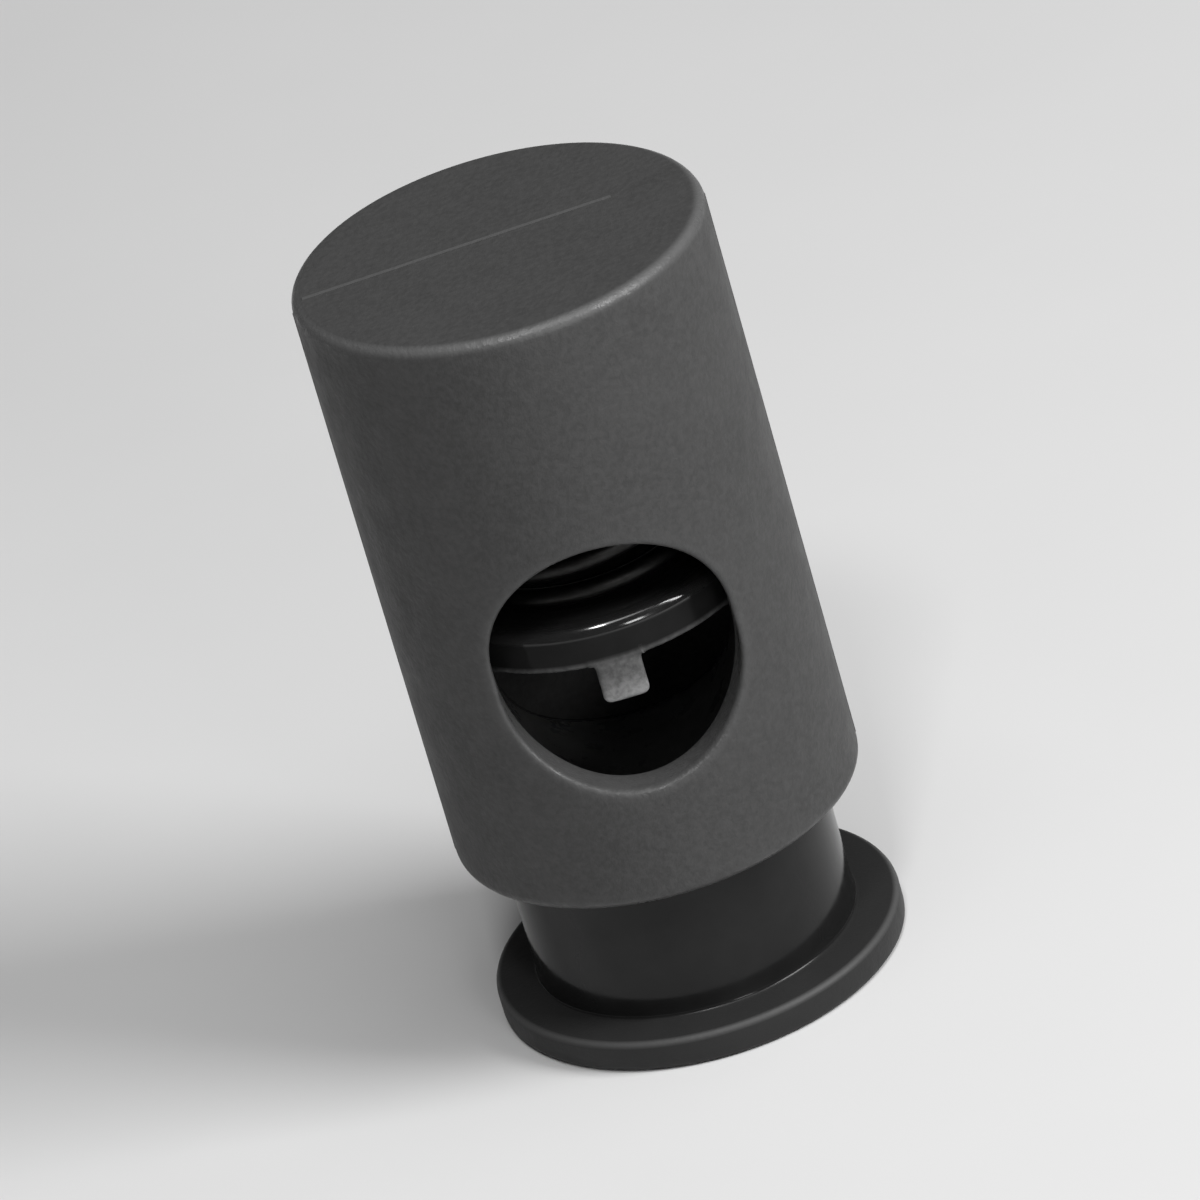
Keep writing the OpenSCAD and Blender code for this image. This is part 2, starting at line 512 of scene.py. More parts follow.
@dataclass
class Barrel:
    """The barrel: closed at the top, with an oval hole for the cords at the front and back."""

    radius: float = 6.75
    bore: float = 5.45
    mouth: float = 6.1
    ceiling: float = 25.4
    top: float = 26.9
    hole_width: float = 7.8
    hole_low: float = 10.2
    hole_high: float = 18.85
    rim_round: float = 0.4
    hole_round: float = 0.3
    mouth_lead: float = 0.35
    boss_radius: float = 3.35
    boss_height: float = 1.0
    boss_round: float = 0.15
    bore_edge_round: float = 0.12
    tunnel_cuts: int = 3
    keyway_half: float = 1.22
    keyway_depth: float = 0.45
    keyway_low: float = 13.3
    parting_width: float = 0.12
    flow_line_width: float = 0.19
    parting_height: float = 0.018
    flow_line_turn: float = 5.0
    flow_line_height: float = 0.014
    flow_line_end: float = 3.9
    rim_wear: Pair = (0.55, 0.2)
    end_wear: Pair = (0.5, 0.2)
    hole_wear: Pair = (0.1, 0.5)
    hole_centre: float = field(init=False)
    hole_rise: float = field(init=False)
    outer: RoundWall = field(init=False)
    inner: RoundWall = field(init=False)

    def __post_init__(self) -> None:
        """Sets out the hole, and the outer and the inner wall."""
        self.hole_centre = (self.hole_low + self.hole_high) / 2
        self.hole_rise = (self.hole_high - self.hole_low - self.hole_width) / 2
        self.outer = RoundWall(self.radius, self.mouth, self.top, 48, (5, 33), 27)
        self.inner = RoundWall(self.bore, self.mouth, self.ceiling, 44, (5, 33), 27)

    def hole(self, grow: float) -> list[Pair]:
        """Gives the points of the hole.

        Args:
            grow: Width added all round.

        Returns:
            One point for each on the window's frame, in line with it from the hole's centre.
        """
        radius = self.hole_width / 2 + grow
        centre, rise = self.hole_centre, self.hole_rise
        points = []
        for x, z in window_frame(self.outer):
            z -= centre
            along = radius / abs(x) if x else math.inf
            if abs(z) * along > rise:
                lift = abs(z) * rise
                square = x * x + z * z
                along = (lift + math.sqrt(lift**2 - square * (rise**2 - radius**2))) / square
            points.append((x * along, centre + z * along))
        return points

    def roll(self, name: str, wall: RoundWall) -> Workpiece:
        """Makes one face of the wall.

        Args:
            name: Name of the piece.
            wall: The outer or the inner wall.

        Returns:
            The wall, rolled up and open at both ends.
        """
        work = Workpiece(name)
        wall.lay_out(work)
        if wall is self.inner:
            wall.move_row(work, self.keyway_low)
            wall.frame_sides(work, self.keyway_half)
        for side in Side:
            wall.open_up(work, side, self.hole)
        wall.roll_up(work)
        work.close()
        return work

    def build(self) -> bpy.types.Object:
        """Builds the barrel.

        Returns:
            The finished barrel.
        """
        lining = self.roll("lining", self.inner)
        work = self.roll("lock_barrel", self.outer)
        work.take_in(lining)
        for sign in (-1, 1):
            work.bridge(lambda edge: edge.is_boundary and sign * middle(edge).y > 0
                        and self.hole_low - NEAR < middle(edge).z < self.hole_high + NEAR,
                        cuts=self.tunnel_cuts)
        work.pick(Kind.EDGES, lambda edge: open_at(self.mouth)(edge)
                  and off_axis(middle(edge)) > self.radius - SKIN)
        work.extrude((0, 0, 0))
        work.scale(self.bore / self.radius)
        work.merge(CLOSE / 2)
        work.fill(open_at(self.top))
        work.fill(open_at(self.ceiling))
        work.inset(self.bore - self.boss_radius)
        work.extrude((0, 0, -self.boss_height))
        work.face_outward()
        self.cut_keyways(work)
        self.round_edges(work)
        self.raise_parting_line(work)
        return work.finish(smooth_below=40)

    def cut_keyways(self, work: Workpiece) -> None:
        """Sinks the grooves that the snap lugs run in.

        Args:
            work: The barrel.
        """
        work.pick(Kind.FACES, on_strip(self.bore, self.keyway_half, self.keyway_low, self.ceiling))
        work.swell(-self.keyway_depth)

    def round_edges(self, work: Workpiece) -> None:
        """Rounds the rims and the hole, and cuts the lead-in at the mouth.

        Args:
            work: The barrel.
        """

        def on_hole(edge: Edge, radius: float) -> bool:
            """Tells whether an edge goes round the hole.

            Args:
                edge: The edge.
                radius: Radius of the outside or of the bore.

            Returns:
                Whether it is between that face and the hole.
            """
            if len(edge.link_faces) != 2:
                return False
            if any(abs(off_axis(point.co) - radius) > CLOSE for point in edge.verts):
                return False
            walls = [abs(face.normal.y) < CLOSE
                     and abs(off_axis(face.calc_center_median()) - radius) > SLACK
                     for face in edge.link_faces]
            inside = self.hole_low - NEAR < middle(edge).z < self.hole_high + NEAR
            return inside and walls[0] != walls[1] and abs(middle(edge).x) < self.hole_width / 2 + NEAR

        work.bevel(on_ring(self.radius, self.top), self.rim_round, 6)
        work.bevel(on_ring(self.radius, self.mouth), self.rim_round, 6)
        work.bevel(on_ring(self.bore, self.mouth), self.mouth_lead, 1)
        work.bevel(lambda edge: on_hole(edge, self.radius), self.hole_round, 5)
        work.bevel(lambda edge: on_hole(edge, self.bore), self.bore_edge_round, 2)
        work.bevel(on_ring(self.boss_radius, self.ceiling - self.boss_height), self.boss_round, 2)

    def raise_parting_line(self, work: Workpiece) -> None:
        """Raises the mould's parting line at both sides, and the flow line across the end.

        Args:
            work: The barrel.
        """
        half = self.parting_width / 2

        def at_side(face: Face, width: float) -> bool:
            """Tells whether a face of the outside is near the left or right side.

            Args:
                face: The face.
                width: How near its middle has to be.

            Returns:
                Whether it is.
            """
            centre = face.calc_center_median()
            return (abs(centre.y) < width and off_axis(centre) > self.radius - SKIN
                    and abs(face.normal.x) > SLACK
                    and self.mouth + self.rim_round < centre.z < self.top - self.rim_round)

        for sign in (-1, 1):
            work.pick(Kind.FACES, lambda face: at_side(face, 0.4))
            bpy.ops.mesh.bisect(plane_co=(0, sign * half, 0), plane_no=(0, 1, 0))
        work.pick(Kind.FACES, lambda face: at_side(face, half))
        work.swell(self.parting_height)
        turn = math.radians(self.flow_line_turn)
        start = Vector((-(self.radius - self.rim_round), 0, self.top))
        across = Vector((-math.sin(turn), math.cos(turn), 0))

        def on_end(face: Face) -> bool:
            """Tells whether a face is the closed end's."""
            return face.normal.z > NEARLY and abs(face.calc_center_median().z - self.top) < NEAR

        for sign in (-1, 1):
            work.pick(Kind.FACES, on_end)
            bpy.ops.mesh.bisect(plane_co=start + sign * self.flow_line_width / 2 * across,
                                plane_no=across)

        def on_line(face: Face) -> bool:
            """Tells whether a face is on the flow line."""
            off = (face.calc_center_median() - start).dot(across)
            return on_end(face) and abs(off) < self.flow_line_width / 2

        work.pick(Kind.FACES, on_line)
        bpy.ops.mesh.bisect(plane_co=(self.flow_line_end, 0, self.top), plane_no=(1, 0, 0))
        work.pick(Kind.FACES, lambda face: on_line(face)
                  and face.calc_center_median().x < self.flow_line_end)
        work.extrude((0, 0, self.flow_line_height))

    def dress(self, obj: bpy.types.Object) -> None:
        """Paints the barrel's masks, and says what it stands for.

        Args:
            obj: The barrel.
        """

        def wear(place: Vector) -> float:
            """Gives how worn a place is.

            Args:
                place: The place.

            Returns:
                The wear, from 0 to 1.
            """
            reach = off_axis(place)
            rim = ramp(reach, *(self.radius - depth for depth in self.rim_wear))
            end = max(ramp(place.z, *(self.top - depth for depth in self.end_wear)),
                      ramp(-place.z, *(-self.mouth - depth for depth in self.end_wear))) * rim
            above = max(abs(place.z - self.hole_centre) - self.hole_rise, 0)
            gap = math.hypot(place.x, above) - self.hole_width / 2
            hole = (1 - ramp(gap, *self.hole_wear)) * ramp(reach, self.bore,
                                                           self.radius - self.hole_wear[1])
            return max(end, hole)

        def flow(place: Vector) -> float:
            """Returns how far up the flow line's ridge a place is: the mask of the highlight painted
            along it.
            """
            return ramp(place.z, self.top + 0.2 * self.flow_line_height,
                        self.top + 0.8 * self.flow_line_height)

        paint(obj, "worn", wear)
        # The flow mask lays a painted highlight along the flow line's ridge.
        paint(obj, "flow", flow)
        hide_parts("barrel")
        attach(obj, "barrel")


@dataclass
class Plunger:
    """The plunger: a disc for the finger, and a stem with an eye whose lip pinches the cords."""

    disc_radius: float = 6.8
    disc_thick: float = 1.1
    disc_round: float = 0.25
    stem: float = 5.37
    stem_top: float = 15.7
    stem_round: float = 0.5
    eye_half: float = 4.0
    eye_low: float = 6.7
    lip: float = 14.2
    tooth_half: float = 0.75
    tooth_height: float = 1.4
    lug_half: float = 1.1
    lug_low: float = 13.3
    lug_top: float = 15.1
    lug_proud: float = 0.45
    spigot_radius: float = 3.35
    spigot_height: float = 0.6
    corner: float = 30.0
    tooth_faces: int = 4
    tooth_steps: int = 4
    tunnel_cuts: int = 7
    foot_round: float = 0.15
    root_round: float = 0.2
    tip_round: float = 0.22
    eye_round: float = 0.12
    sag: float = 0.03
    wall: RoundWall = field(init=False)

    def __post_init__(self) -> None:
        """Sets out the stem's wall."""
        self.wall = RoundWall(self.stem, self.disc_thick, self.stem_top, 36, (10, 34), 29,
                              margin=0.35)

    def eye(self, grow: float) -> list[Pair]:
        """Gives the points of the eye, without its tooth.

        Args:
            grow: Width added all round.

        Returns:
            One point for each on the window's frame, from the lower left.
        """
        radius = self.eye_half + grow
        centre = self.eye_low + self.eye_half
        across = 2 * self.wall.opening_columns
        up = self.wall.opening_rows[1] - self.wall.opening_rows[0]
        bottom = []
        for i in range(across):
            turn = math.radians(self.corner - 180 + (180 - 2 * self.corner) * i / across)
            bottom.append((radius * math.cos(turn), centre + radius * math.sin(turn)))
        arc = math.radians(self.corner) * radius
        straight = self.lip + grow - centre
        rise = []
        for i in range(up):
            way = (arc + straight) * i / up
            turn = min(0.0, (way - arc) / radius)
            rise.append((radius * math.cos(turn), centre + radius * math.sin(turn) + max(0, way - arc)))
        free = (across - self.tooth_faces) // 2
        right = [radius + (self.tooth_half - radius) * i / free for i in range(free)]
        over = [self.tooth_half * (1 - 2 * i / self.tooth_faces) for i in range(self.tooth_faces + 1)]
        xs = right + over + [-x for x in right[:0:-1]]
        lip = [(x, self.lip + grow) for x in xs]
        fall = [(-radius, self.lip + grow)] + [(-x, z) for x, z in rise[:0:-1]]
        return bottom + rise + lip + fall

    def build(self) -> bpy.types.Object:
        """Builds the plunger.

        Returns:
            The finished plunger.
        """
        work = Workpiece("lock_plunger")
        self.wall.lay_out(work)
        for z in (self.lug_low, (self.lug_low + self.lug_top) / 2, self.lug_top):
            self.wall.move_row(work, z)
        self.wall.frame_sides(work, self.lug_half)
        for side in Side:
            self.wall.open_up(work, side, self.eye)
            self.draw_tooth(work, side)
        self.wall.roll_up(work)
        work.bridge(lambda edge: edge.is_boundary
                    and self.eye_low - NEAR < middle(edge).z < self.lip + NEAR,
                    cuts=self.tunnel_cuts)
        work.pick(Kind.EDGES, open_at(self.disc_thick))
        work.extrude((0, 0, 0))
        work.scale(self.disc_radius / self.stem)
        work.extrude((0, 0, -self.disc_thick))
        bpy.ops.mesh.edge_face_add()
        work.fill(open_at(self.stem_top))
        work.inset(self.stem - self.spigot_radius)
        work.extrude((0, 0, self.spigot_height))
        work.face_outward()
        self.raise_lugs(work)
        self.round_edges(work)
        return work.finish(smooth_below=40)

    def draw_tooth(self, work: Workpiece, side: Side) -> None:
        """Draws the tooth down from the lip's middle, on the flat sheet.

        Args:
            work: Workpiece with the flat sheet.
            side: Front or back.
        """
        centre = side.value * self.stem
        half = self.stem * math.asin(self.tooth_half / self.stem)
        work.pick(Kind.EDGES, lambda edge: open_at(self.lip)(edge)
                  and all(abs(point.co.x - centre) < half + NEAR for point in edge.verts))
        for _ in range(self.tooth_steps):
            work.extrude((0, 0, -self.tooth_height / self.tooth_steps))

    def raise_lugs(self, work: Workpiece) -> None:
        """Raises the snap lugs at both sides, with a ramp to the stem's end.

        Args:
            work: The plunger.
        """
        work.pick(Kind.FACES, on_strip(self.stem, self.lug_half, self.lug_low, self.lug_top))
        work.swell(self.lug_proud)
        work.pick(Kind.POINTS, lambda point: abs(point.co.z - self.lug_top) < NEAR
                  and off_axis(point.co) > self.stem + self.lug_proud / 2)
        work.scale(self.stem / (self.stem + self.lug_proud))
        work.merge(CLOSE)

    def round_edges(self, work: Workpiece) -> None:
        """Rounds the disc, the stem's end, the spigot, and the eye with its lip and tooth.

        Args:
            work: The plunger.
        """

        def is_wall(face: Face) -> bool:
            """Tells whether a face is on the inside of the eye.

            Args:
                face: The face.

            Returns:
                Whether it is.
            """
            centre = face.calc_center_median()
            inside = abs(centre.x) < self.eye_half + SLACK and self.eye_low - SLACK < centre.z
            return inside and centre.z < self.lip + SLACK and abs(face.normal.y) < CLOSE

        def along_tunnel(edge: Edge, x: float, z: float) -> bool:
            """Tells whether an edge runs through the eye at a place or its mirror image.

            Args:
                edge: The edge.
                x: How far the place is from the middle.
                z: Its height.

            Returns:
                Whether it does.
            """
            run = (edge.verts[0].co - edge.verts[1].co).normalized()
            if abs(run.y) < NEARLY or len(edge.link_faces) != 2:
                return False
            return abs(abs(middle(edge).x) - x) < CLOSE and abs(middle(edge).z - z) < CLOSE

        def on_eye(edge: Edge) -> bool:
            """Tells whether an edge goes round the eye on the stem's face.

            Args:
                edge: The edge.

            Returns:
                Whether it does.
            """
            if len(edge.link_faces) != 2:
                return False
            walls = [is_wall(face) for face in edge.link_faces]
            return walls[0] != walls[1] and all(abs(off_axis(point.co) - self.stem) < self.sag
                                                for point in edge.verts)

        tip = self.lip - self.tooth_height
        spigot_top = self.stem_top + self.spigot_height
        work.bevel(on_ring(self.disc_radius, 0), self.disc_round, 5)
        work.bevel(on_ring(self.disc_radius, self.disc_thick), self.disc_round, 5)
        work.bevel(on_ring(self.stem, self.disc_thick), self.foot_round, 3)
        work.bevel(on_ring(self.stem, self.stem_top), self.stem_round, 6)
        work.bevel(on_ring(self.spigot_radius, spigot_top), self.foot_round, 3)
        work.bevel(lambda edge: along_tunnel(edge, self.tooth_half, self.lip), self.root_round, 3)
        work.bevel(lambda edge: along_tunnel(edge, self.tooth_half, tip), self.tip_round, 4)
        work.bevel(lambda edge: along_tunnel(edge, self.eye_half, self.lip), self.tip_round, 4)
        work.bevel(on_eye, self.eye_round, 3, slide=False)

    def dress(self, obj: bpy.types.Object) -> None:
        """Says what the plunger stands for.

        Args:
            obj: The plunger.
        """
        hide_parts("plunger")
        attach(obj, "plunger")


@dataclass
class Spring:
    """The compression spring, with one closed turn at each end."""

    low: float = 15.7
    high: float = 25.4
    outside: float = 8.4
    wire: float = 0.65
    turns: float = 5.5
    closed_turns: float = 1.0
    closed_pitch: float = 1.04
    start: float = 180.0
    pressed_length: float = 4.8
    steps_per_turn: int = 56
    ease: float = 0.14
    ease_steps: int = 4

    def height(self, turn: float) -> float:
        """Gives the height of the wire's middle.

        Args:
            turn: Turns from the lower end.

        Returns:
            The height.
        """
        close = self.closed_pitch * self.wire
        open_turns = self.turns - 2 * self.closed_turns
        pitch = (self.high - self.low - self.wire - 2 * self.closed_turns * close) / open_turns
        open_part = min(max(turn - self.closed_turns, 0), open_turns)
        last = max(turn - self.closed_turns - open_turns, 0)
        return (self.low + self.wire / 2 + close * (min(turn, self.closed_turns) + last)
                + pitch * open_part)

    def eased(self, turn: float) -> float:
        """Gives the height, with the change of pitch spread over part of a turn.

        Args:
            turn: Turns from the lower end.

        Returns:
            The height.
        """
        spread = min(self.ease, turn, self.turns - turn)
        steps = self.ease_steps
        return (sum(self.height(turn + spread * k / steps) for k in range(-steps, steps + 1))
                / (2 * steps + 1))

    def build(self) -> bpy.types.Object:
        """Builds the spring.

        Returns:
            The finished spring.
        """
        curve = bpy.data.curves.new("lock_spring", "CURVE")
        curve.dimensions = "3D"
        curve.bevel_depth = self.wire / 2
        curve.bevel_resolution = 6
        curve.use_fill_caps = True
        spline = curve.splines.new("POLY")
        count = round(self.turns * self.steps_per_turn)
        spline.points.add(count)
        radius = (self.outside - self.wire) / 2
        for i in range(count + 1):
            turn = self.turns * i / count
            angle = math.radians(self.start) + TAU * turn
            spline.points[i].co = (radius * math.cos(angle), radius * math.sin(angle),
                                   self.eased(turn), 1)
        obj = bpy.data.objects.new("lock_spring", curve)
        bpy.context.scene.collection.objects.link(obj)
        select_only(obj)
        bpy.ops.object.convert(target="MESH")
        obj = bpy.context.view_layer.objects.active
        bpy.ops.object.mode_set(mode="EDIT")
        bpy.ops.mesh.select_all(action="SELECT")
        bpy.ops.mesh.remove_doubles(threshold=TINY)
        bpy.ops.mesh.normals_make_consistent(inside=False)
        bpy.ops.object.mode_set(mode="OBJECT")
        return finished(obj, smooth_below=50)

    def dress(self, obj: bpy.types.Object) -> None:
        """Says what the spring stands for.

        Args:
            obj: The spring.
        """
        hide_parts("spring")
        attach(obj, "barrel")
        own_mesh(obj)


class Nodes:
    """The nodes of one material, added from left to right."""

    def __init__(self, name: str) -> None:
        """Starts a material.

        Args:
            name: Name of the material.
        """
        self.material = bpy.data.materials.new(name)
        self.material.use_nodes = True
        self.tree = self.material.node_tree
        self.tree.nodes.clear()
        self.shader = self.tree.nodes.new("ShaderNodeBsdfPrincipled")
        output = self.tree.nodes.new("ShaderNodeOutputMaterial")
        self.tree.links.new(self.shader.outputs["BSDF"], output.inputs["Surface"])
        place = self.tree.nodes.new("ShaderNodeTexCoord")
        self.place = place.outputs["Object"]

    def link(self, source: Socket, target: Socket) -> None:
        """Joins two sockets."""
        self.tree.links.new(source, target)

    def noise(self, size_mm: float, detail: float = 2.0, rough: float = 0.5,
              stretch: Point = (1, 1, 1)) -> Socket:
        """Adds noise of a size.

        Args:
            size_mm: Size of one spot, in millimetres.
            detail: Finer layers in it.
            rough: Strength of the finer layers.
            stretch: How much closer it lies along each axis.

        Returns:
            The noise, from 0 to 1.
        """
        mapping = self.tree.nodes.new("ShaderNodeMapping")
        mapping.inputs["Scale"].default_value = stretch
        self.link(self.place, mapping.inputs["Vector"])
        node = self.tree.nodes.new("ShaderNodeTexNoise")
        node.inputs["Scale"].default_value = 1 / (size_mm * MM)
        node.inputs["Detail"].default_value = detail
        node.inputs["Roughness"].default_value = rough
        self.link(mapping.outputs["Vector"], node.inputs["Vector"])
        return node.outputs["Fac"]

    def in_mm(self, flatten: Point) -> Socket:
        """Measures how far off a place is.

        Args:
            flatten: How much each axis counts for, such as UP for the height.

        Returns:
            The distance, in millimetres.
        """
        mapping = self.tree.nodes.new("ShaderNodeMapping")
        mapping.inputs["Scale"].default_value = [share / MM for share in flatten]
        self.link(self.place, mapping.inputs["Vector"])
        length = self.tree.nodes.new("ShaderNodeVectorMath")
        length.operation = "LENGTH"
        self.link(mapping.outputs["Vector"], length.inputs[0])
        return length.outputs["Value"]

    def mask(self, name: str) -> Socket:
        """Reads a mask that is painted on the piece.

        Args:
            name: Name of the mask.

        Returns:
            The mask, from 0 to 1.
        """
        node = self.tree.nodes.new("ShaderNodeAttribute")
        node.attribute_name = name
        return node.outputs["Fac"]

    def spread(self, value: Socket, source: Pair, target: Pair = (0, 1)) -> Socket:
        """Maps a value from one range to another.

        Args:
            value: What is mapped.
            source: Its range.
            target: The range it is given, which it keeps to.

        Returns:
            The mapped value.
        """
        node = self.tree.nodes.new("ShaderNodeMapRange")
        self.link(value, node.inputs["Value"])
        names = ("From Min", "From Max", "To Min", "To Max")
        for name, number in zip(names, source + target):
            node.inputs[name].default_value = number
        return node.outputs["Result"]

    def sum_of(self, operation: str, a: Socket, b: Socket | float) -> Socket:
        """Joins two numbers.

        Args:
            operation: Name of the sum, such as MULTIPLY or ADD.
            a: First number.
            b: Second number.

        Returns:
            The result.
        """
        node = self.tree.nodes.new("ShaderNodeMath")
        node.operation = operation
        self.link(a, node.inputs[0])
        if isinstance(b, (int, float)):
            node.inputs[1].default_value = b
        else:
            self.link(b, node.inputs[1])
        return node.outputs[0]

    def blend(self, share: Socket, a: Point | Socket, b: Point | Socket) -> Socket:
        """Blends two colours.

        Args:
            share: How much of the second there is.
            a: First colour.
            b: Second colour.

        Returns:
            The blended colour.
        """
        node = self.tree.nodes.new("ShaderNodeMix")
        node.data_type = "RGBA"
        self.link(share, node.inputs["Factor"])
        for colour, socket in ((a, node.inputs[6]), (b, node.inputs[7])):
            if isinstance(colour, tuple):
                socket.default_value = (*colour, 1)
            else:
                self.link(colour, socket)
        return node.outputs[2]

    def corner(self, radius: float, top: float, reach: Pair) -> Socket:
        """Makes the mask of a round part's upper corner.

        Args:
            radius: The part's radius, in millimetres.
            top: Its height.
            reach: How far in from both the mask starts, and how far in it is full.

        Returns:
            The mask, from 0 to 1.
        """
        outward, upward = ([size - depth for depth in reach] for size in (radius, top))
        return self.sum_of("MINIMUM", self.spread(self.in_mm(OFF_AXIS), tuple(outward)),
                           self.spread(self.in_mm(UP), tuple(upward)))

    def bump(self, height: Socket, depth_mm: float, strength: float,
             under: Socket | None = None) -> Socket:
        """Adds a bump.

        Args:
            height: Height from 0 to 1.
            depth_mm: Depth of the whole range, in millimetres.
            strength: How strongly it shows.
            under: Normal that it is laid over, if any.

        Returns:
            The new normal.
        """
        node = self.tree.nodes.new("ShaderNodeBump")
        node.inputs["Strength"].default_value = strength
        node.inputs["Distance"].default_value = depth_mm * MM
        self.link(height, node.inputs["Height"])
        if under is not None:
            self.link(under, node.inputs["Normal"])
        return node.outputs["Normal"]


def grey(value: float, warmth: float = 0.0) -> Point:
    """Returns a grey in linear light, a little warm or cool."""
    return (value * (1 + warmth), value, value * (1 - warmth))


@dataclass(frozen=True)
class SparkedPlastic:
    """Matte plastic from a spark-eroded mould, burnished where it is handled, with a painted highlight
    on the closed end's rim and along the flow line.
    """

    name: str = "barrel_plastic"
    shade: float = 0.046
    worn_shade: float = 0.066
    # Colour of the highlight painted along the flow line.
    flow_line_highlight_shade: float = 0.085
    # Colour of the highlight painted on the closed end's rim.
    rim_highlight_shade: float = 0.105
    rough: Pair = (0.50, 0.62)
    worn_rough: float = 0.34
    grain_mm: float = 0.22
    grain_depth_mm: float = 0.045
    specular: float = 0.28
    radius: float = 6.75
    top: float = 26.9
    rim_highlight_reach: Pair = (0.34, 0.16)

    def make(self) -> bpy.types.Material:
        """Makes the material.

        Returns:
            The material.
        """
        nodes = Nodes(self.name)
        cloudy = nodes.noise(2.6, 3, 0.55)
        fine = nodes.noise(self.grain_mm, 3, 0.6)
        broken = nodes.sum_of("MULTIPLY", nodes.mask("worn"),
                              nodes.spread(nodes.noise(0.5, 4, 0.6), (0.35, 0.62), (0.35, 1)))
        base = nodes.blend(nodes.spread(cloudy, (0.3, 0.7)),
                           grey(self.shade * 0.93, 0.004), grey(self.shade * 1.07, 0.004))
        speckled = nodes.blend(nodes.spread(fine, (0.36, 0.66), (0, 0.5)), base,
                               grey(self.shade * 1.55, 0.004))
        worn_off = nodes.blend(broken, speckled, grey(self.worn_shade))
        # Painted highlight: the flow line's ridge is painted lighter than the end round it.
        flow_line_highlit = nodes.blend(nodes.mask("flow"), worn_off, grey(self.flow_line_highlight_shade))
        # Painted highlight: the closed end's outer corner is painted light, standing in for the light
        # its rounding catches.
        rim = nodes.corner(self.radius, self.top, self.rim_highlight_reach)
        nodes.link(nodes.blend(rim, flow_line_highlit, grey(self.rim_highlight_shade)),
                   nodes.shader.inputs["Base Color"])
        rough = nodes.spread(nodes.noise(0.9, 3, 0.6), (0.3, 0.7), self.rough)
        worn = nodes.sum_of("MULTIPLY", broken, self.worn_rough - self.rough[1])
        nodes.link(nodes.sum_of("ADD", rough, worn), nodes.shader.inputs["Roughness"])
        nodes.link(nodes.bump(nodes.noise(0.9, 2, 0.5), 0.01, 0.35,
                              nodes.bump(fine, self.grain_depth_mm, 0.8)),
                   nodes.shader.inputs["Normal"])
        nodes.shader.inputs["IOR"].default_value = PLASTIC_IOR
        nodes.shader.inputs["Specular IOR Level"].default_value = self.specular
        return nodes.material


